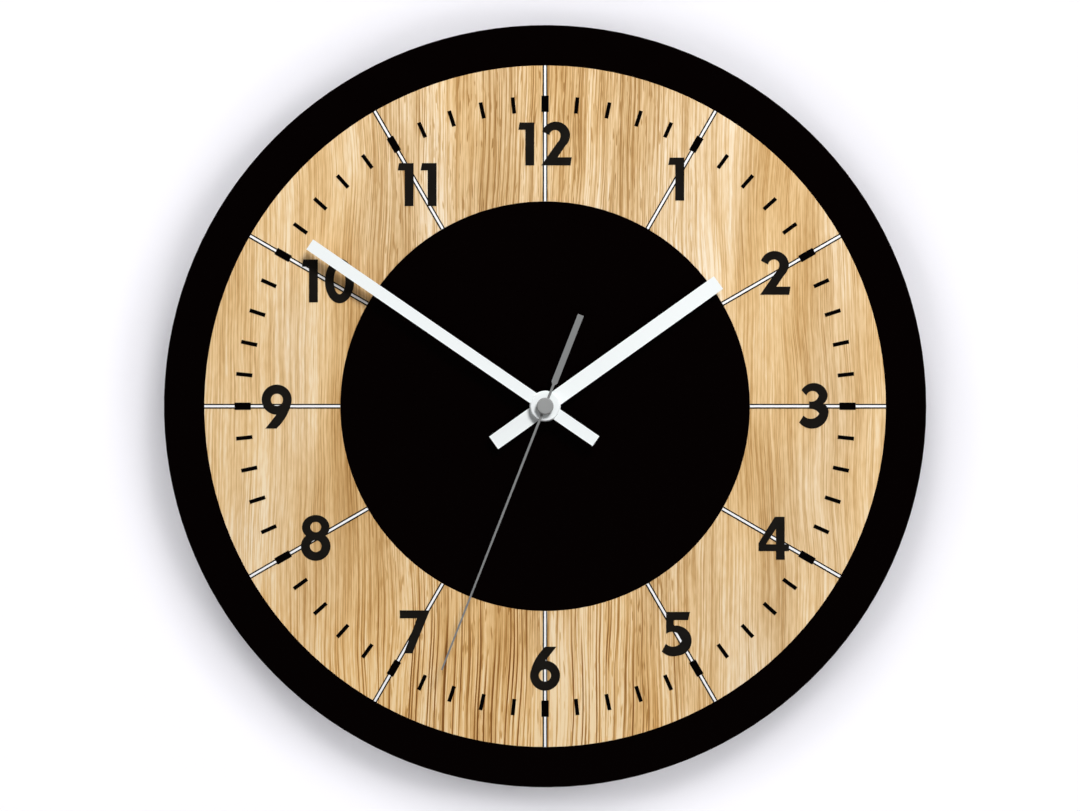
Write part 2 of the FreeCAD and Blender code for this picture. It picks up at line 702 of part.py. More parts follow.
def coil_bobbin():
    half = winding_length / 2
    spool = along_x(core_width / 2 + 0.7, -half, half, coil_y, coil_z)
    flanges = [along_x(flange_radius, x, x + flange_thickness, coil_y, coil_z)
               for x in (-half - flange_thickness, half)]
    return spool.fuse(flanges).cut(core_passage(0.05))


def coil_winding():
    half = winding_length / 2
    full = along_x(winding_radius, -half + 0.05, half - 0.05, coil_y, coil_z)
    return full.cut(along_x(core_width / 2 + 0.75, -half - 1, half + 1, coil_y, coil_z))


def circuit_board():
    return slab(board_left, board_left + board_width, board_bottom, board_bottom + board_height,
                board_z, board_z + board_thickness)


def quartz_crystal():
    at = V(board_left + board_width - 4.0, board_bottom + 3.0, board_z - crystal_radius)
    return Part.makeCylinder(crystal_radius, crystal_length, at, V(0, 1, 0))


def chip():
    """Rounded drop of resin over the bare chip, on the rear of the board."""
    at = V(board_left + 5.0, board_bottom + board_height / 2 + 1.0, board_z)
    ball_radius = (chip_radius ** 2 + chip_height ** 2) / (2 * chip_height)
    ball = Part.makeSphere(ball_radius, at + V(0, 0, ball_radius - chip_height))
    return ball.common(disc(chip_radius + 1, board_z - chip_height - 1, board_z, at))


def coil_leads():
    """Two wire ends from the bobbin's flange to pads on the rear of the board."""
    flange = winding_length / 2 + flange_thickness
    z = board_z - lead_radius
    leads = []
    for pad, rise in ((1.2, 0.5), (3.4, 1.4)):
        start = V(flange + lead_radius, coil_y - flange_radius + rise, z)
        span = V(board_left + pad, board_bottom + board_height - 1.0, z) - start
        leads.append(Part.makeCylinder(lead_radius, span.Length, start, span))
    return Part.makeCompound(leads)


# ---- cell and contacts -------------------------------------------------------------------
cell_left = -cell_length / 2
can_right = cell_left + cell_length - cell_nub_length


def battery_cell():
    body = along_x(cell_radius, cell_left + cell_cap_depth, can_right - cell_cap_depth, cell_y, cell_z)
    return body


def battery_terminals():
    negative = along_x(cell_radius - 0.6, cell_left, cell_left + cell_cap_depth, cell_y, cell_z)
    positive = along_x(cell_radius - 0.6, can_right - cell_cap_depth, can_right, cell_y, cell_z)
    nub = along_x(cell_nub_radius, can_right, can_right + cell_nub_length, cell_y, cell_z)
    return Part.makeCompound([negative, positive.fuse(nub).removeSplitter()])


def contact_blade(side):
    """Leaf at one end of the bay, and the tail that rises through the partition to the board's level."""
    outer = half_room - contact_end_play
    x0, x1 = sorted((side * outer, side * (outer - contact_thickness)))
    z0, z1 = cell_z - contact_half_width, cell_z + contact_half_width
    face = slab(x0, x1, bay_bottom + 2, bay_top - 0.4, z0, z1)
    return face, x0, x1


def contact_positive():
    """Flat blade with a dimple behind the nub; its tail ends under the edge of the board."""
    face, x0, x1 = contact_blade(1)
    dimple = along_x(1.6, can_right + cell_nub_length, x0, cell_y, cell_z)
    tail = slab(x0, x1, bay_top - 1, board_bottom + 3, board_z - tail_width, board_z)
    return face.fuse([dimple, tail]).removeSplitter()


def contact_negative():
    """Bowed leaf against the can's foot; its tail runs along the partition to the board."""
    face, x0, x1 = contact_blade(-1)
    t = contact_thickness
    bow = [V(x1, cell_y - 4, 0), V(cell_left, cell_y, 0), V(x1, cell_y + 4, 0)]
    inner = [V(x1, cell_y + 4 - t, 0), V(cell_left - t, cell_y, 0), V(x1, cell_y - 4 + t, 0)]
    rim = Part.Wire([Part.Arc(*bow).toShape(), Part.makeLine(bow[2], inner[0]),
                     Part.Arc(*inner).toShape(), Part.makeLine(inner[2], bow[0])])
    leaf = Part.Face(rim).extrude(V(0, 0, 4))
    leaf.translate(V(0, 0, cell_z - 2))
    y0, z0 = chamber_bottom + 0.1, board_z - tail_width
    strip_end = beside_third + post_radius + 1.0
    riser = slab(x0, x1, bay_top - 1, y0 + t, z0, board_z)
    strip = slab(x0, strip_end, y0, y0 + t, z0, board_z)
    rise = slab(strip_end - t, strip_end, y0, board_bottom + 1.5, z0, board_z)
    return face.fuse([leaf, riser, strip, rise]).removeSplitter()


# ---- case --------------------------------------------------------------------------------
def arbors():
    """Axis and arbor radius of each arbor that turns in bosses of the cover and the case."""
    return [step_axis, third_axis, rotor_axis, minute_work_axis]


def corner_posts():
    side, top = half_room - post_inset, chamber_top - post_inset
    bottom = chamber_bottom + post_inset
    return [V(-side, top, 0), V(side, top, 0), V(-side, above_well, 0), V(beside_third, bottom, 0)]


def case_front():
    """Tub of the movement: side walls, front wall, partition, front bosses and posts under the cover."""
    tub = rounded_slab(-case_half_width, case_half_width, case_bottom, case_top, 0, case_depth, corner_radius)
    front = case_inner_front
    chamber = slab(-half_room, half_room, chamber_bottom, chamber_top, -1, front)
    bay = slab(-half_room, half_room, bay_bottom, bay_top, -1, front)
    tub = tub.cut([chamber, bay, disc(bush_radius + bearing_play, 0, case_depth + 1)])
    bosses, holes = [], []
    for at in arbors() + [knob_axis]:
        boss, hole = bearing(front - bearing_depth - 0.2, front, False, at)
        bosses.append(boss)
        holes.append(hole)
    bosses += [disc(post_radius, wall, front, at) for at in corner_posts()]
    rests = [disc(1.0, board_z + board_thickness, front, V(x, y, 0))
             for x in (board_left + 2.0, board_left + board_width - 2.0)
             for y in (board_bottom + 6.0, board_bottom + board_height - 3.0)]
    holes += snap_windows()
    slot_width = contact_thickness + contact_end_play + 0.1
    slots = [slab(x, x + slot_width, bay_top - 1, chamber_bottom + 1, board_z - tail_width - 0.2, front)
             for x in (-half_room, half_room - slot_width)]
    tub = tub.fuse(bosses + rests).removeSplitter()
    return tub.cut(holes + slots)


def mirrored_slab(side, x0, x1, y0, y1, z0, z1):
    """Slab at x0 to x1 from the middle, to the right for side 1 and to the left for side -1."""
    low, high = sorted((side * x0, side * x1))
    return slab(low, high, y0, y1, z0, z1)


def snap_tabs(inset):
    """Two tabs under the top wall and one at each side, with hooks that reach into the wall."""
    hook_z, foot = snap_top - snap_hook, wall / 2
    tabs = []
    top = chamber_top - inset
    for x in (-snap_spread, snap_spread):
        x0, x1 = x - snap_half, x + snap_half
        tabs.append(slab(x0, x1, top - snap_thickness, top, foot, snap_top))
        tabs.append(slab(x0, x1, top - snap_thickness, chamber_top + wall / 2, hook_z, snap_top))
    outer, reach = half_room - inset, half_room + wall / 2
    inner, y0, y1 = outer - snap_thickness, snap_side_y - snap_half, snap_side_y + snap_half
    for side in (-1, 1):
        tabs.append(mirrored_slab(side, inner, outer, y0, y1, foot, snap_top))
        tabs.append(mirrored_slab(side, inner, reach, y0, y1, hook_z, snap_top))
    return tabs


def snap_windows():
    """Windows in the side walls, a little larger than the hooks in them."""
    z0, z1 = snap_top - snap_hook - snap_play, snap_top + snap_play
    half = snap_half + snap_play
    y0, y1 = chamber_top - 1, case_top + 1
    windows = [slab(x - half, x + half, y0, y1, z0, z1) for x in (-snap_spread, snap_spread)]
    y0, y1 = snap_side_y - half, snap_side_y + half
    windows += [mirrored_slab(side, half_room - 1, case_half_width + 1, y0, y1, z0, z1) for side in (-1, 1)]
    return windows


def turning_mark():
    """Engraved arc over the knob's well, an arrowhead at each end."""
    middle = well_outer + mark_width
    arc = ring(middle + mark_width / 2, middle - mark_width / 2, -1, mark_depth, knob_axis)
    fan = [knob_axis] + [knob_axis + on_dial(side * mark_half_angle, 2 * middle) for side in (-1, 1)]
    marks = [arc.common(plate([(p.x, p.y) for p in fan], -1, mark_depth))]
    for side in (-1, 1):
        head = [knob_axis + on_dial(side * (mark_half_angle + mark_head_angle), middle)]
        head += [knob_axis + on_dial(side * mark_half_angle, middle + w) for w in (-mark_width, mark_width)]
        marks.append(plate([(p.x, p.y) for p in head], -1, mark_depth))
    return marks


def polarity_marks():
    """Plus and minus engraved over the two ends of the cell bay."""
    half, thin = polarity_size / 2, mark_width / 2
    x = half_room - cover_play - polarity_inset
    y = chamber_bottom + cover_play + polarity_inset
    plus = slab(x - half, x + half, y - thin, y + thin, -1, mark_depth)
    plus = plus.fuse(slab(x - thin, x + thin, y - half, y + half, -1, mark_depth))
    return [plus, slab(-x - half, -x + half, y - thin, y + thin, -1, mark_depth)]


def case_rear():
    """Rear cover over the wheels, with the knob's well and the rear bosses."""
    play = cover_play
    cover = slab(-half_room + play, half_room - play, chamber_bottom + play, chamber_top - play, 0, wall)
    well_radius = knob_radius + knob_play
    well = disc(well_radius + wall, 0, well_floor_front, knob_axis)
    bosses, holes = [well], [disc(well_radius, -1, well_floor_rear, knob_axis),
                             disc(knob_arbor_radius + bearing_play, 0, well_floor_front + 1, knob_axis)]
    for at in arbors() + [V(0, 0, 0)]:
        boss, hole = bearing(wall / 2, well_floor_front - 0.2, True, at)
        bosses.append(boss)
        holes.append(disc(arbor_radius + bearing_play, rear_pivot_z - 0.2, well_floor_front + 1, at))
    cuts = holes + turning_mark() + polarity_marks()
    return cover.fuse(bosses + snap_tabs(play)).cut(cuts).removeSplitter()


def threaded_bush():
    """Brass bush through board and case: inner flange, plain neck in the case, then the thread."""
    flange_z = case_inner_front - bush_flange_thickness
    crest, root = bush_radius, bush_radius - bush_thread_depth
    bore = hour_tube_radius + bush_bore_play
    rim, seat = bush_flange_radius, case_inner_front
    profile = [V(bore, 0, flange_z), V(rim, 0, flange_z), V(rim, 0, seat), V(crest, 0, seat),
               V(crest, 0, case_depth)]
    z = case_depth
    while z + bush_pitch < bush_end:
        profile += [V(root, 0, z + bush_pitch / 2), V(crest, 0, z + bush_pitch)]
        z += bush_pitch
    profile += [V(root, 0, bush_end), V(bore, 0, bush_end)]
    return Part.Face(Part.makePolygon(profile + profile[:1])).revolve(V(0, 0, 0), V(0, 0, 1), 360)


# ---- hanger and fixing -------------------------------------------------------------------
def wall_hanger():
    """Bent steel strip: base clamped in front of the case, web over its top, tongue with the keyhole."""
    t = hanger_thickness
    z_front, z_rear = hanger_z + t, tongue_setback
    top = nail_y + tongue_crown
    side = [(-hanger_below, z_front - t), (web_y, z_front - t), (web_y, z_rear), (top, z_rear),
            (top, z_rear + t), (web_y + t, z_rear + t), (web_y + t, z_front), (-hanger_below, z_front)]
    corners = [V(-hanger_base_width / 2, y, z) for y, z in side]
    strip = Part.Face(Part.makePolygon(corners + corners[:1])).extrude(V(hanger_base_width, 0, 0))

    def bend(y, z):
        return [e for e in strip.Edges if abs(e.Length - hanger_base_width) < 1e-6
                and abs(e.Vertexes[0].Y - y) < 1e-6 and abs(e.Vertexes[0].Z - z) < 1e-6]

    strip = strip.makeFillet(2 * t, bend(web_y + t, z_front) + bend(web_y, z_rear))
    strip = strip.makeFillet(t, bend(web_y, z_front - t) + bend(web_y + t, z_rear + t))
    half_base, half_tongue = hanger_base_width / 2, tongue_width / 2
    crown = tongue_width / 2
    taper_y = case_top - 6
    plan = outline((-half_base, -hanger_below), ((half_base, -hanger_below),), ((half_base, taper_y),),
                   ((half_tongue, web_y),), ((half_tongue, top - crown),),
                   ((0, top), (-half_tongue, top - crown)), ((-half_tongue, web_y),),
                   ((-half_base, taper_y),))
    plan.translate(V(0, 0, z_rear - 1))
    strip = strip.common(plan.extrude(V(0, 0, z_front - z_rear + 2)))
    slot_half = nail_slot_width / 2
    slot = slab(-slot_half, slot_half, keyhole_y, nail_y - slot_half, z_rear - 1, z_rear + t + 1)
    cuts = [disc(hole_radius, hanger_z - 1, z_front + 1), slot,
            disc(keyhole_radius, z_rear - 1, z_rear + t + 1, V(0, keyhole_y, 0)),
            disc(slot_half, z_rear - 1, z_rear + t + 1, V(0, nail_y - slot_half, 0))]
    return strip.cut(cuts)


def fixing_nut():
    corner = nut_across_flats / 2 / math.cos(math.radians(30))
    hexagon = plate([(corner * math.cos(math.radians(60 * k)), corner * math.sin(math.radians(60 * k)))
                     for k in range(6)], nut_z, nut_z + nut_height)
    cone = Part.makeCone(corner + nut_height - 0.3, corner - 0.3, nut_height, V(0, 0, nut_z))
    return hexagon.common(cone).cut(disc(bush_radius + nut_play, nut_z - 1, nut_z + nut_height + 1))


def hands():
    hour = blade(hour_hand_length, hour_hand_tail, hour_hand_width, hour_boss_radius, hour_hand_z,
                 neck_hole(hour_tube_radius))
    minute = blade(minute_hand_length, minute_hand_tail, minute_hand_width, minute_boss_radius, minute_hand_z,
                   neck_hole(minute_tube_radius))
    return {
        "hour_hand": turned(hour, hour_hand_angle),
        "hour_hand_collar": collar(hour_tube_radius, hour_hand_z),
        "minute_hand": turned(minute, minute_hand_angle),
        "minute_hand_collar": collar(minute_tube_radius, minute_hand_z),
        "second_hand": turned(second_hand(), second_hand_angle),
        "second_hand_tube": second_hand_tube(),
        "second_hand_cap": second_hand_cap(),
    }


def dial_board():
    """The panel, the three layers on it and all that is printed on them."""
    numerals = {hour: numeral(hour) for hour in range(1, 13)}
    core = hour_line_width / 2
    edge = core + hour_line_edge
    white = [hour_line(hour, n, -core, core) for hour, n in numerals.items()]
    sides = ((-edge, -core), (core, edge))
    dark = [hour_line(hour, n, x0, x1) for hour, n in numerals.items() for x0, x1 in sides]
    return {
        "back_panel": back_panel(),
        "rim_ring": rim_ring(),
        "oak_dial": oak_dial(),
        "centre_disc": centre_disc(),
        "minute_ticks": minute_ticks(),
        "hour_blocks": Part.makeCompound([hour_block(hour) for hour in numerals]),
        "hour_lines": Part.makeCompound(white),
        "hour_line_edges": Part.makeCompound(dark),
        "hour_numerals": Part.makeCompound([digit for n in numerals.values() for digit in n.Solids]),
    }


def fixing():
    return {
        "wall_hanger": wall_hanger(),
        "cushion_washer": ring(cushion_radius, hole_radius, cushion_z, panel_z),
        "dial_washer": ring(washer_radius, bush_radius + bush_hole_play / 2, face_z, nut_z),
        "fixing_nut": fixing_nut(),
        "threaded_bush": threaded_bush(),
    }


def movement():
    """Case, motor, circuit and cell."""
    return {
        "case_front": case_front(),
        "case_rear": case_rear(),
        "circuit_board": circuit_board(),
        "quartz_crystal": quartz_crystal(),
        "chip": chip(),
        "coil_bobbin": coil_bobbin(),
        "coil_winding": coil_winding(),
        "coil_core": coil_core(),
        "coil_leads": coil_leads(),
        "stator": stator(),
        "contact_positive": contact_positive(),
        "contact_negative": contact_negative(),
        "battery_cell": battery_cell(),
        "battery_terminals": battery_terminals(),
    }


def train():
    """Everything that turns behind the hands."""
    return {
        "rotor_magnet": rotor_magnet(),
        "rotor_pinion": rotor_pinion(),
        "intermediate_wheel": step_wheel(),
        "seconds_wheel": seconds_wheel(),
        "third_wheel": third_wheel(),
        "centre_wheel": centre_wheel(),
        "clutch_spring": clutch_spring(),
        "cannon_pinion": cannon_pinion(),
        "minute_work_wheel": minute_work_wheel(),
        "hour_wheel": hour_wheel(),
        "setting_gear": setting_gear(),
        "setting_knob": setting_knob(),
    }


def build():
    os.makedirs("parts", exist_ok=True)
    for group in (dial_board(), hands(), fixing(), movement(), train()):
        for name, shape in group.items():
            save(name, shape)
    for name, at in (("intermediate", step_axis), ("rotor", rotor_axis), ("third", third_axis),
                     ("minute work", minute_work_axis), ("knob", knob_axis)):
        print(name, "axis x %.4f y %.4f mm" % (at.x, at.y - nail_y))
    print("hands' axis %.3f below the nail, keyhole %.3f" % (nail_y, nail_y - keyhole_y))
    print("case x %.2f, z %.2f to %.2f" % (case_half_width, case_bottom - nail_y, case_top - nail_y))
    print("depth: case %.2f, dial face %.2f, cap %.2f" % (case_depth, face_z, cap_z + cap_height_z))


build()
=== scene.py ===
"""Looks, stage and camera of the wall clock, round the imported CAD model. Metres; x right, y into the wall, z up."""

import json
import math

import bpy
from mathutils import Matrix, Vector


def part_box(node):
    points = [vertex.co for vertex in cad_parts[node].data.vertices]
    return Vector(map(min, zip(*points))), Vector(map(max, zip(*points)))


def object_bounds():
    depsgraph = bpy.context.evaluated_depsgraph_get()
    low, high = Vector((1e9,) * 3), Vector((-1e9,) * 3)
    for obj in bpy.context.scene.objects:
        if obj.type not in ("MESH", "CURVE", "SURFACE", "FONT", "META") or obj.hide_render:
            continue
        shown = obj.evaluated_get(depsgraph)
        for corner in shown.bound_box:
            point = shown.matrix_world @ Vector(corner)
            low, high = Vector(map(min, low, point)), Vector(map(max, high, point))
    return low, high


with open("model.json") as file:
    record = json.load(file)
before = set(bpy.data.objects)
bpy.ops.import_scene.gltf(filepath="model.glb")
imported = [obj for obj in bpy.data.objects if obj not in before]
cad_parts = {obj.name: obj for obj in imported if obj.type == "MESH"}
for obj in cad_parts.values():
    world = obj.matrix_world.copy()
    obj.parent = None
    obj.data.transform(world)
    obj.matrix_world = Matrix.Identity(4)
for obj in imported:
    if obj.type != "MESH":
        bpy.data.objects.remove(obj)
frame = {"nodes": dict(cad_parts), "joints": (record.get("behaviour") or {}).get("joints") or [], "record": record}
cad_low, cad_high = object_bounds()

MM = 0.001

# ---------------------------------------------------------------- places read from the frame

hub = Vector(next(joint["pos_m"] for joint in frame["joints"] if joint["name"] == "minute_hand_turn"))
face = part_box("oak_dial")[0].y
hub_face = Vector((hub.x, face, hub.z))


def middle(node):
    low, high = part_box(node)
    return (low + high) / 2


# ---------------------------------------------------------------- material graphs


class Graph:
    """A material's nodes, with a short call for each kind that is used here."""

    def __init__(self, name):
        self.material = bpy.data.materials.new(name)
        self.material.use_nodes = True
        self.tree = self.material.node_tree
        self.shader = self.tree.nodes["Principled BSDF"]
        self.place = self.node("TexCoord").outputs["Object"]

    def node(self, kind, values=None, **settings):
        made = self.tree.nodes.new("ShaderNode" + kind)
        for name, value in settings.items():
            setattr(made, name, value)
        for socket, value in (values or {}).items():
            self.put(value, made.inputs[socket])
        return made

    def put(self, value, socket):
        if isinstance(value, bpy.types.NodeSocket):
            self.tree.links.new(value, socket)
        elif isinstance(value, tuple) and len(value) == 3 and socket.type == "RGBA":
            socket.default_value = (*value, 1)
        else:
            socket.default_value = value

    def surface(self, **values):
        """Sets sockets of the shader, base_color for Base Color and so on."""
        for name, value in values.items():
            wanted = name.replace("_", " ").lower()
            socket = next(s for s in self.shader.inputs if s.name.lower() == wanted)
            self.put(value, socket)
        return self.material

    def math(self, operation, a, b=0.0, c=0.0):
        return self.node("Math", {0: a, 1: b, 2: c}, operation=operation).outputs[0]

    def times(self, a, b):
        return self.math("MULTIPLY", a, b)

    def plus(self, *terms):
        total = terms[0]
        for term in terms[1:]:
            total = self.math("ADD", total, term)
        return total

    def vector(self, operation, a, b):
        return self.node("VectorMath", {0: a, 1: b}, operation=operation).outputs[0]

    def per_metre(self, x, y=None, z=None, place=None, shift=(0, 0, 0)):
        """The place times so many repeats a metre along each axis, as many along all if only x is given."""
        scale = (x, x if y is None else y, x if z is None else z)
        return self.node("Mapping", {"Vector": place or self.place, "Scale": scale, "Location": shift}).outputs[0]

    def noise(self, place, detail=2.0, roughness=0.5, distortion=0.0):
        values = {"Vector": place, "Scale": 1.0, "Detail": detail, "Roughness": roughness, "Distortion": distortion}
        return self.node("TexNoise", values).outputs[0]

    def cells(self, place, feature="F1"):
        return self.node("TexVoronoi", {"Vector": place, "Scale": 1.0}, feature=feature).outputs["Distance"]

    def between(self, value, low, high, to_low=0.0, to_high=1.0):
        """The value from low to high, taken smoothly to to_low to to_high and held there outside."""
        values = {"Value": value, "From Min": low, "From Max": high, "To Min": to_low, "To Max": to_high}
        return self.node("MapRange", values, interpolation_type="SMOOTHSTEP").outputs[0]

    def mix(self, share, a, b, blend="MIX"):
        made = self.node("Mix", data_type="RGBA", blend_type=blend)
        for socket, value in ((0, share), (6, a), (7, b)):
            self.put(value, made.inputs[socket])
        return made.outputs[2]

    def ramp(self, value, stops):
        made = self.node("ValToRGB", {0: value})
        for k, (at, colour) in enumerate(stops):
            stop = made.color_ramp.elements[k] if k < 2 else made.color_ramp.elements.new(at)
            stop.position, stop.color = at, (*colour, 1)
        return made.outputs[0]

    def bump(self, height, depth, strength=1.0):
        return self.node("Bump", {"Height": height, "Distance": depth, "Strength": strength}).outputs[0]

    def part(self, axis, place=None):
        return self.node("SeparateXYZ", {0: place or self.place}).outputs["XYZ".index(axis)]

    def away_from(self, centre):
        """Distance from the axis along y through the centre."""
        off = self.vector("MULTIPLY", self.vector("SUBTRACT", self.place, tuple(centre)), (1, 0, 1))
        return self.node("VectorMath", {0: off}, operation="LENGTH").outputs["Value"]

    def waves(self, value, pitch):
        """Sine of the value, one wave in each pitch."""
        return self.math("SINE", self.math("MULTIPLY", value, 2 * math.pi / pitch))


def oak():
    """Oak veneer, its fibres upright: a pale ground in slow bands and patches, fine fibres, short flecks and pores,
    and brown lines along the growth. The middle leaf is the livelier one, most of all low down."""
    g = Graph("oak")
    times, plus = g.times, g.plus
    sway = times(g.math("SUBTRACT", g.noise(g.per_metre(14, 14, 8)), 0.5), 14 * MM)
    fibres = g.vector("ADD", g.place, g.node("CombineXYZ", {0: sway, 1: 0.0, 2: 0.0}).outputs[0])
    across = g.part("X", fibres)
    upward = g.part("Z")

    def grain(per_x, per_z, seed, detail=2.0, roughness=0.5):
        return g.noise(g.per_metre(per_x, 20, per_z, fibres, shift=(seed, 0.3 * seed, seed)), detail, roughness)

    def swing(value, gain):
        """The noise about its mean, times the gain."""
        return times(g.math("SUBTRACT", value, 0.5), gain)

    def lines(pitch, wide, per_z, seed, rare):
        """Dark lines along the fibres, one at some place in each pitch, each fading in and out along its length."""
        wander = swing(grain(60, 14, seed, 1), 1.5)
        at = plus(times(across, 1 / pitch), wander, seed)
        off = g.node("TexVoronoi", {"W": at, "Scale": 1.0}, voronoi_dimensions="1D").outputs["Distance"]
        line = g.between(off, 0.1 * wide / pitch, 0.8 * wide / pitch, 1.0, 0.0)
        return times(line, g.between(grain(0.7 / pitch, per_z, seed + 5), rare - 0.08, rare + 0.14))

    # where on the dial: the middle leaf, its low part, the top, the far left
    off_middle = g.math("ABSOLUTE", g.math("SUBTRACT", across, -5 * MM))
    middle_leaf = g.between(off_middle, 45 * MM, 85 * MM, 1.0, 0.0)
    lively = g.between(off_middle, 45 * MM, 85 * MM, 1.0, 0.5)
    left_of_leaf = g.between(across, 35 * MM, 75 * MM, 1.0, 0.0)
    low_down = times(g.between(upward, hub.z - 125 * MM, hub.z - 35 * MM, 1.0, 0.0), left_of_leaf)
    high_up = g.between(upward, hub.z + 40 * MM, hub.z + 120 * MM)
    far_left = g.between(across, -100 * MM, -45 * MM, 0.12, 0.0)

    # dark marks
    growth_strength = times(lively, g.between(low_down, 0.0, 1.0, 0.30, 0.72))
    growth = times(lines(1.9 * MM, 0.58 * MM, 9, 3.7, 0.43), growth_strength)
    veins = times(lines(1.0 * MM, 0.38 * MM, 20, 6.1, 0.51), times(lively, 0.32))
    hairs = times(lines(0.65 * MM, 0.28 * MM, 30, 9.2, 0.50), 0.25)
    pores = times(g.between(grain(1250, 120, 12.4, 1), 0.60, 0.70), times(middle_leaf, 0.30))
    dark = g.math("MAXIMUM", g.math("MAXIMUM", growth, veins), g.math("MAXIMUM", hairs, pores))

    # lightness of the ground, from slow bands to fine flecks
    fine = grain(1700, 24, 2.2, 2, 0.6)
    streaks = times(lively, g.between(low_down, 0.0, 1.0, 0.68, 1.0))
    level = plus(0.848, swing(grain(24, 5, 1.7), 0.60), swing(grain(75, 12, 3.1), 0.44))
    level = plus(level, swing(grain(190, 9, 8.1), 0.28), times(streaks, swing(grain(480, 12, 7.3, 2, 0.6), 0.34)))
    level = plus(level, times(streaks, swing(fine, 0.58)), swing(grain(1300, 200, 5.9, 1), 0.20))
    level = plus(level, times(low_down, 0.115), times(high_up, 0.015))
    level = g.math("SUBTRACT", level, dark)
    tone = g.ramp(level, [(0.0, (0.125, 0.046, 0.010)), (0.31, (0.260, 0.118, 0.031)),
                          (0.46, (0.385, 0.216, 0.076)), (0.59, (0.521, 0.313, 0.130)),
                          (0.69, (0.627, 0.413, 0.197)), (0.78, (0.732, 0.514, 0.278)),
                          (0.88, (0.832, 0.624, 0.382)), (1.0, (0.920, 0.790, 0.610))])
    rosy = g.between(plus(grain(26, 7, 11.3), far_left), 0.36, 0.62)
    tone = g.mix(rosy, tone, (1.0, 0.94, 0.815), "MULTIPLY")
    tone = g.mix(low_down, tone, (1.0, 0.905, 0.73), "MULTIPLY")
    height = g.math("SUBTRACT", times(fine, 0.3), times(dark, 2.0))
    return g.surface(base_color=tone, roughness=g.between(dark, 0.0, 0.4, 0.42, 0.7), specular_ior_level=0.2,
                     normal=g.bump(height, 0.05 * MM, strength=0.8))


def hardboard():
    """Black-painted hardboard: the square mesh of its pressing screen, loose fibres, paint rubbed thin."""
    g = Graph("black_board")
    screen_pitch = 1.7 * MM
    screen = g.times(g.waves(g.part("X"), screen_pitch), g.waves(g.part("Z"), screen_pitch))
    fibre = g.noise(g.per_metre(420), detail=4, roughness=0.65, distortion=0.8)
    rubbed = g.noise(g.per_metre(32), detail=5, roughness=0.62)
    height = g.plus(screen, g.times(fibre, 1.6))
    tone = g.mix(g.between(rubbed, 0.42, 0.72), (0.0125, 0.0125, 0.013), (0.026, 0.0245, 0.023))
    return g.surface(base_color=tone, roughness=g.between(rubbed, 0.3, 0.7, 0.62, 0.8), specular_ior_level=0.3,
                     normal=g.bump(height, 0.06 * MM, strength=0.7))


def black_sheet(name, colour, rough, grain, specular):
    """Matt black acrylic, with a fine tooth and faint rubbing."""
    g = Graph(name)
    tooth = g.noise(g.per_metre(grain), detail=3, roughness=0.6)
    rubbed = g.noise(g.per_metre(60), detail=4, roughness=0.6)
    return g.surface(base_color=colour, roughness=g.between(rubbed, 0.3, 0.7, rough - 0.06, rough + 0.08),
                     specular_ior_level=specular, normal=g.bump(tooth, 0.02 * MM, strength=0.6))


def ink(name, colour, specular=0.15):
    """Screen print on the veneer: even, with the fibres just telling through."""
    g = Graph(name)
    fibres = g.noise(g.per_metre(1000, 50, 28), detail=2)
    worn = g.noise(g.per_metre(2200, 500, 900), detail=2)
    share = g.between(worn, 0.35, 0.75, 0.0, 0.12)
    tone = g.mix(share, colour, tuple(0.9 * c + 0.004 for c in colour))
    return g.surface(base_color=tone, roughness=0.6, specular_ior_level=specular,
                     normal=g.bump(fibres, 0.02 * MM, strength=0.5))


def charcoal_vinyl():
    """Cut film of the numerals, near black, with a faint cloud and tooth."""
    g = Graph("charcoal_vinyl")
    tooth = g.noise(g.per_metre(1600), detail=2)
    cloudy = g.between(g.noise(g.per_metre(160, 50, 160), detail=3), 0.35, 0.65)
    tone = g.mix(cloudy, (0.0085, 0.0072, 0.0058), (0.0105, 0.0090, 0.0075))
    return g.surface(base_color=tone, roughness=0.5, specular_ior_level=0.04,
                     normal=g.bump(tooth, 0.01 * MM, strength=0.5))


def paint(name, colour, rough, specular=0.3):
    """Sprayed paint with a fine orange peel."""
    g = Graph(name)
    peel = g.noise(g.per_metre(700))
    dust = g.noise(g.per_metre(2600), detail=2)
    tone = g.mix(g.between(dust, 0.4, 0.8, 0.0, 0.10), colour, tuple(0.86 * c for c in colour))
    return g.surface(base_color=tone, roughness=rough, specular_ior_level=specular,
                     normal=g.bump(peel, 0.012 * MM, strength=0.5))


def moulded(name, colour, rough, specular=0.4, pitch=1900, depth=0.03):
    """Moulded plastic with a spark-eroded face and the flow of the melt in its shine."""
    g = Graph(name)
    stipple = g.cells(g.per_metre(pitch))
    grain = g.noise(g.per_metre(pitch / 3), detail=3)
    flow = g.noise(g.per_metre(45), detail=3, distortion=0.6)
    tone = g.mix(g.between(flow, 0.3, 0.7), colour, tuple(min(1.0, 1.12 * c + 0.001) for c in colour))
    return g.surface(base_color=tone, roughness=g.between(flow, 0.3, 0.7, rough - 0.05, rough + 0.07),
                     specular_ior_level=specular, normal=g.bump(g.plus(stipple, grain), depth * MM, strength=0.6))


def plated_sheet():
    """Zinc on rolled steel: drawn along the sheet, with a dull bloom."""
    g = Graph("zinc_steel")
    rolled = g.noise(g.per_metre(1800, 1800, 60), detail=3, roughness=0.6)
    bloom = g.noise(g.per_metre(130), detail=4, roughness=0.6)
    tone = g.mix(g.between(bloom, 0.35, 0.65), (0.62, 0.63, 0.65), (0.50, 0.505, 0.51))
    tone = g.mix(g.between(bloom, 0.6, 0.75, 0.0, 0.35), tone, (0.55, 0.52, 0.44))
    rough = g.between(rolled, 0.25, 0.75, 0.24, 0.42)
    return g.surface(base_color=tone, metallic=1.0, roughness=rough,
                     normal=g.bump(rolled, 0.01 * MM, strength=0.5))


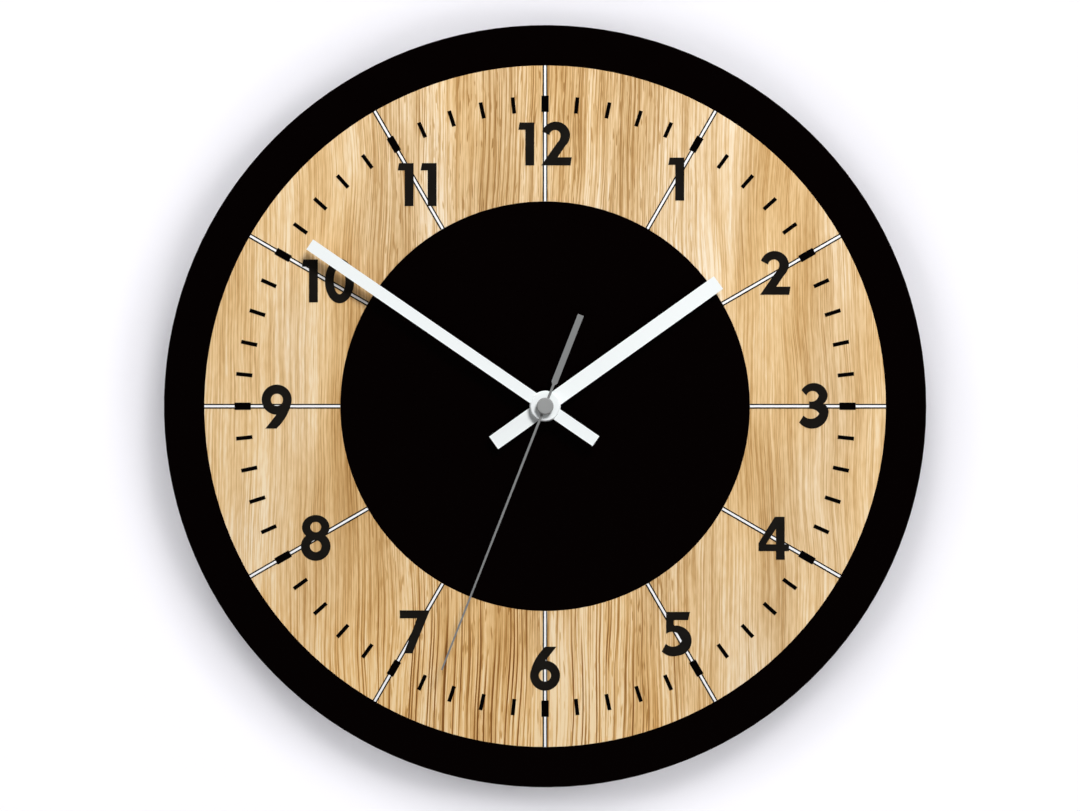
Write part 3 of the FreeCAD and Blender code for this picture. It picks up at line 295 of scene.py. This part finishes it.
def turned_metal(name, bright, dull, centre):
    """Metal turned round an axis along y: fine tool rings, a little tarnish."""
    g = Graph(name)
    rings = g.waves(g.away_from(centre), 0.16 * MM)
    steps = g.waves(g.part("Y"), 0.2 * MM)
    tarnish = g.noise(g.per_metre(300), detail=4, roughness=0.6)
    tone = g.mix(g.between(tarnish, 0.35, 0.7), bright, dull)
    return g.surface(base_color=tone, metallic=1.0,
                     roughness=g.between(tarnish, 0.3, 0.7, 0.22, 0.40),
                     normal=g.bump(g.plus(rings, steps), 0.004 * MM, strength=0.5))


def plain_metal(name, bright, dull, rough, grain=500):
    """Stamped or rolled metal, clouded, with fine marks."""
    g = Graph(name)
    cloudy = g.noise(g.per_metre(grain), detail=4, roughness=0.6)
    fine = g.noise(g.per_metre(3000, 3000, 400), detail=2)
    tone = g.mix(g.between(cloudy, 0.35, 0.68), bright, dull)
    return g.surface(base_color=tone, metallic=1.0, roughness=g.between(cloudy, 0.3, 0.7, rough - 0.07, rough + 0.1),
                     normal=g.bump(fine, 0.004 * MM, strength=0.5))


def rubber():
    """Black rubber with a coarse tooth and some dust."""
    g = Graph("rubber")
    tooth = g.noise(g.per_metre(1500), detail=3, roughness=0.7)
    dusty = g.noise(g.per_metre(120), detail=4)
    tone = g.mix(g.between(dusty, 0.5, 0.8), (0.018, 0.018, 0.019), (0.04, 0.038, 0.036))
    return g.surface(base_color=tone, roughness=0.82, specular_ior_level=0.3,
                     normal=g.bump(tooth, 0.05 * MM, strength=0.7))


def circuit_board():
    """Green solder mask over copper runs, with bare pads."""
    g = Graph("board")
    runs = g.cells(g.per_metre(260, 1, 260), feature="DISTANCE_TO_EDGE")
    track = g.between(runs, 0.10, 0.13, 1.0, 0.0)
    weave = g.noise(g.per_metre(1500), detail=2)
    tone = g.mix(track, (0.018, 0.11, 0.040), (0.05, 0.24, 0.085))
    dots = g.cells(g.per_metre(330, 1, 330, shift=(4, 0, 9)))
    pad = g.between(dots, 0.13, 0.16, 1.0, 0.0)
    tone = g.mix(pad, tone, (0.66, 0.60, 0.48))
    height = g.plus(g.times(weave, 0.2), g.math("MAXIMUM", track, pad))
    return g.surface(base_color=tone, roughness=0.32, specular_ior_level=0.5, metallic=g.times(pad, 0.8),
                     normal=g.bump(height, 0.03 * MM))


def windings():
    """Enamelled wire laid turn by turn round the coil's axis, which lies along x, with painted shade in the grooves
    between the turns.
    """
    g = Graph("copper_wire")
    turn_relief_and_shade = g.math("ABSOLUTE", g.waves(g.part("X"), 0.22 * MM))
    uneven = g.noise(g.per_metre(500, 900, 900), detail=3)
    # painted shade: the copper is darkened towards brown-black in the grooves between the turns
    tone = g.mix(g.between(turn_relief_and_shade, 0.0, 0.55), (0.16, 0.045, 0.014), (0.70, 0.27, 0.095))
    tone = g.mix(g.between(uneven, 0.45, 0.7, 0.0, 0.4), tone, (0.82, 0.40, 0.18))
    height = g.plus(turn_relief_and_shade, g.times(uneven, 0.5))
    return g.surface(base_color=tone, metallic=0.85, roughness=0.33, coat_weight=0.4, coat_roughness=0.15,
                     normal=g.bump(height, 0.04 * MM))


def cell_wrap():
    """Plain shrink wrap in three fields, with its overlap along the cell."""
    g = Graph("cell_wrap")
    low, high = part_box("battery_cell")
    axis = middle("battery_cell")
    along = g.part("X")
    black_end = low.x + 0.30 * (high.x - low.x)
    half_stripe, stripe_colour = 0.55 * MM, (0.62, 0.64, 0.66)
    tone = g.mix(g.between(along, black_end, black_end + 0.02 * MM), (0.028, 0.03, 0.034), (0.04, 0.16, 0.24))
    for at in (black_end + 1.8 * MM, high.x - 4.2 * MM):
        tone = g.mix(g.math("COMPARE", along, at, half_stripe), tone, stripe_colour)
    around = g.math("ARCTAN2", g.math("SUBTRACT", g.part("Z"), axis.z), g.math("SUBTRACT", g.part("Y"), axis.y))
    lap = g.between(g.math("ABSOLUTE", g.math("SUBTRACT", around, 0.35)), 0.0, 0.02)
    creases = g.noise(g.per_metre(900, 120, 120), detail=3)
    near_end = g.math("MINIMUM", g.math("SUBTRACT", along, low.x), g.math("SUBTRACT", high.x, along))
    shrunk = g.times(g.between(near_end, 0.0, 2.2 * MM, 1.0, 0.0), g.noise(g.per_metre(200, 700, 700)))
    height = g.plus(lap, g.times(creases, 0.25), g.times(shrunk, 2.0))
    return g.surface(base_color=tone, roughness=0.24, specular_ior_level=0.55, coat_weight=0.3, coat_roughness=0.1,
                     normal=g.bump(height, 0.05 * MM))


def resin():
    """Glossy black drop over the chip."""
    g = Graph("resin")
    skin = g.noise(g.per_metre(350), detail=2)
    return g.surface(base_color=(0.008, 0.008, 0.009), roughness=0.18, specular_ior_level=0.5,
                     normal=g.bump(skin, 0.05 * MM))


def all_materials():
    """One material for each of the record's slots."""
    return {
        "black_board": hardboard(),
        "black_acrylic": black_sheet("black_acrylic", (0.0008, 0.0001, 0.0001), 0.5, 1800, 0.02),
        "oak": oak(),
        "black_ink": ink("black_ink", (0.0008, 0.0004, 0.0004), 0.02),
        "white_ink": ink("white_ink", (0.93, 0.93, 0.94)),
        "charcoal_vinyl": charcoal_vinyl(),
        "zinc_steel": plated_sheet(),
        "rubber": rubber(),
        "brass": turned_metal("brass", (0.80, 0.60, 0.27), (0.62, 0.42, 0.17), hub),
        "black_plastic": moulded("black_plastic", (0.013, 0.013, 0.014), 0.46),
        "white_plastic": moulded("white_plastic", (0.80, 0.79, 0.75), 0.36, 0.5, 3500, 0.008),
        "board": circuit_board(),
        "tin": plain_metal("tin", (0.78, 0.78, 0.79), (0.62, 0.62, 0.62), 0.22),
        "resin": resin(),
        "copper_wire": windings(),
        "soft_iron": plain_metal("soft_iron", (0.52, 0.52, 0.53), (0.38, 0.375, 0.37), 0.36),
        "spring_brass": plain_metal("spring_brass", (0.80, 0.70, 0.46), (0.70, 0.58, 0.34), 0.24),
        "cell_wrap": cell_wrap(),
        "magnet": plain_metal("magnet", (0.22, 0.22, 0.23), (0.15, 0.15, 0.155), 0.45, 1200),
        "white_paint": paint("white_paint", (0.875, 0.912, 0.914), 0.45),
        "grey_paint": paint("grey_paint", (0.212, 0.216, 0.216), 0.45, 0.2),
        "grey_plastic": moulded("grey_plastic", (0.285, 0.29, 0.288), 0.5, 0.2, 3500, 0.006),
    }


def dress(materials):
    for subpart in frame["record"]["subparts"]:
        node = frame["nodes"][subpart["node"]]
        node.data.materials.clear()
        node.data.materials.append(materials[subpart["material_slot"]])


# ---------------------------------------------------------------- stage

half_wall, wall_gap = 7.0, 0.2 * MM
floor_z = hub.z - 0.9
wall_grey, floor_grey = (0.93, 0.92, 0.965), (0.86, 0.86, 0.865)


def quad(name, corners, material):
    mesh = bpy.data.meshes.new(name)
    mesh.from_pydata(corners, [], [tuple(range(len(corners)))])
    mesh.materials.append(material)
    made = bpy.data.objects.new(name, mesh)
    bpy.context.scene.collection.objects.link(made)
    return made


def plaster(name, colour):
    """The graph of a plain matt material for the stage."""
    g = Graph(name)
    mottle = g.noise(g.per_metre(3), detail=3)
    tone = g.mix(g.between(mottle, 0.3, 0.7), colour, tuple(0.985 * c for c in colour))
    g.surface(base_color=tone, roughness=0.9, specular_ior_level=0.0)
    return g


def wall():
    """A pale wall just behind the clock, seen only from its front."""
    g = plaster("wall", wall_grey)
    behind = g.node("NewGeometry").outputs["Backfacing"]
    clear = g.node("BsdfTransparent").outputs[0]
    shown = g.node("MixShader", {0: behind, 1: g.shader.outputs[0], 2: clear}).outputs[0]
    g.tree.links.new(shown, g.tree.nodes["Material Output"].inputs["Surface"])
    y = cad_high.y + wall_gap
    corners = [(x, y, z) for x, z in ((-half_wall, floor_z), (half_wall, floor_z),
                                      (half_wall, half_wall), (-half_wall, half_wall))]
    made = quad("wall", corners, g.material)
    made.visible_diffuse = made.visible_glossy = made.visible_shadow = made.visible_transmission = False
    return made


def floor():
    corners = [(half_wall * x, half_wall * y, floor_z) for x, y in ((-1, -1), (1, -1), (1, 1), (-1, 1))]
    made = quad("floor", corners, plaster("floor", floor_grey).material)
    made.visible_diffuse = False
    return made


def receivers(name, objects):
    group = bpy.data.collections.new(name)
    for each in objects:
        group.objects.link(each)
    return group


def shine(lamp, direction, distance, lit, blockers=None, glossy=False):
    """Puts the lamp at a distance from the dial's middle, facing it, to light the given objects only."""
    made = bpy.data.objects.new(lamp.name, lamp)
    away = Vector(direction).normalized()
    made.location = hub_face + away * distance
    made.rotation_euler = away.to_track_quat("Z", "Y").to_euler()
    made.visible_glossy = glossy
    bpy.context.scene.collection.objects.link(made)
    made.light_linking.receiver_collection = lit
    if blockers:
        made.light_linking.blocker_collection = blockers
    return made


def panel(name, watts, direction, distance, size, lit, glossy=False):
    """A soft square light."""
    lamp = bpy.data.lights.new(name, "AREA")
    lamp.shape, lamp.size, lamp.energy = "SQUARE", size, watts
    shine(lamp, direction, distance, lit, glossy=glossy).visible_camera = False


def beam(name, strength, direction, spread, lit, blockers):
    """Even light from one direction, its spread in degrees, for the wall or the floor."""
    lamp = bpy.data.lights.new(name, "SUN")
    lamp.energy, lamp.angle = strength, math.radians(spread)
    shine(lamp, direction, 3, lit, blockers)


def off_normal(clock_angle, tilt):
    """Direction from the dial, tilted off its normal towards an hour angle, both in degrees."""
    a, t = math.radians(clock_angle), math.radians(tilt)
    return math.sin(t) * math.sin(a), -math.cos(t), math.sin(t) * math.cos(a)


def lights(clock, backdrop, ground):
    """A key from the upper right and a broad fill for the dial, two rings of beams for the wall, brightest from the
    upper right too, lights at the sides and above that show in glossy faces, two from behind, one on the floor."""
    panel("key", 20.2, off_normal(25, 34.5), 1.5, 0.38, clock)
    panel("fill", 9.5, off_normal(0, 0), 2.0, 2.5, clock)
    ring, brightest_at, unevenness, spread = 8, 28, 0.52, 18
    for k in range(ring):
        turn = 360 / ring * k
        share = 1 + unevenness * math.cos(math.radians(turn))
        beam(f"wall_near_{k}", 0.236 * share, off_normal(brightest_at + turn, 26), spread, backdrop, clock)
        beam(f"wall_far_{k}", 0.288 * share, off_normal(brightest_at + turn, 43), spread, backdrop, clock)
    panel("gloss_right", 6.0, (1, -0.15, 0.35), 1.4, 0.8, clock, glossy=True)
    panel("gloss_left", 5.0, (-1, -0.1, 0.2), 1.6, 0.9, clock, glossy=True)
    panel("gloss_top", 5.0, (0.1, -0.1, 1), 1.4, 0.9, clock, glossy=True)
    panel("rear_key", 22.0, (-0.5, 0.8, 0.6), 1.5, 0.6, clock, glossy=True)
    panel("rear_fill", 26.0, (0.15, 1, 0.05), 2.0, 2.2, clock, glossy=True)
    beam("overhead", 3.15, (0, 0, 1), 40, ground, clock)


def sky():
    """Pale where the camera looks past the stage, dim as a light."""
    world = bpy.data.worlds.new("studio")
    bpy.context.scene.world = world
    world.use_nodes = True
    tree = world.node_tree
    seen, dim = tree.nodes["Background"], tree.nodes.new("ShaderNodeBackground")
    seen.inputs["Color"].default_value = (0.86, 0.86, 0.87, 1)
    dim.inputs["Color"].default_value = (0.94, 0.93, 1.0, 1)
    dim.inputs["Strength"].default_value = 0.03
    either = tree.nodes.new("ShaderNodeMixShader")
    tree.links.new(tree.nodes.new("ShaderNodeLightPath").outputs["Is Camera Ray"], either.inputs[0])
    tree.links.new(dim.outputs[0], either.inputs[1])
    tree.links.new(seen.outputs[0], either.inputs[2])
    tree.links.new(either.outputs[0], tree.nodes["World Output"].inputs["Surface"])


def camera():
    """Square to the dial, the clock nearly filling the height, its middle a little right of the frame's."""
    frame_width, frame_pixels = 0.42496, 1080
    lens = bpy.data.cameras.new("camera")
    lens.sensor_width, lens.lens = 36.0, 200.0
    lens.shift_x, lens.shift_y = -5.1 / frame_pixels, 0.7 / frame_pixels
    lens.clip_start, lens.clip_end = 0.01, 50.0
    made = bpy.data.objects.new("camera", lens)
    made.location = hub_face + Vector((0, -frame_width * lens.lens / lens.sensor_width, 0))
    made.rotation_euler = (math.radians(90), 0, 0)
    bpy.context.scene.collection.objects.link(made)
    bpy.context.scene.camera = made


# ---------------------------------------------------------------- build

dress(all_materials())
clock_group = receivers("clock_group", frame["nodes"].values())
lights(clock_group, receivers("wall_group", [wall()]), receivers("floor_group", [floor()]))
sky()
camera()
bpy.context.scene.view_settings.view_transform = "Standard"
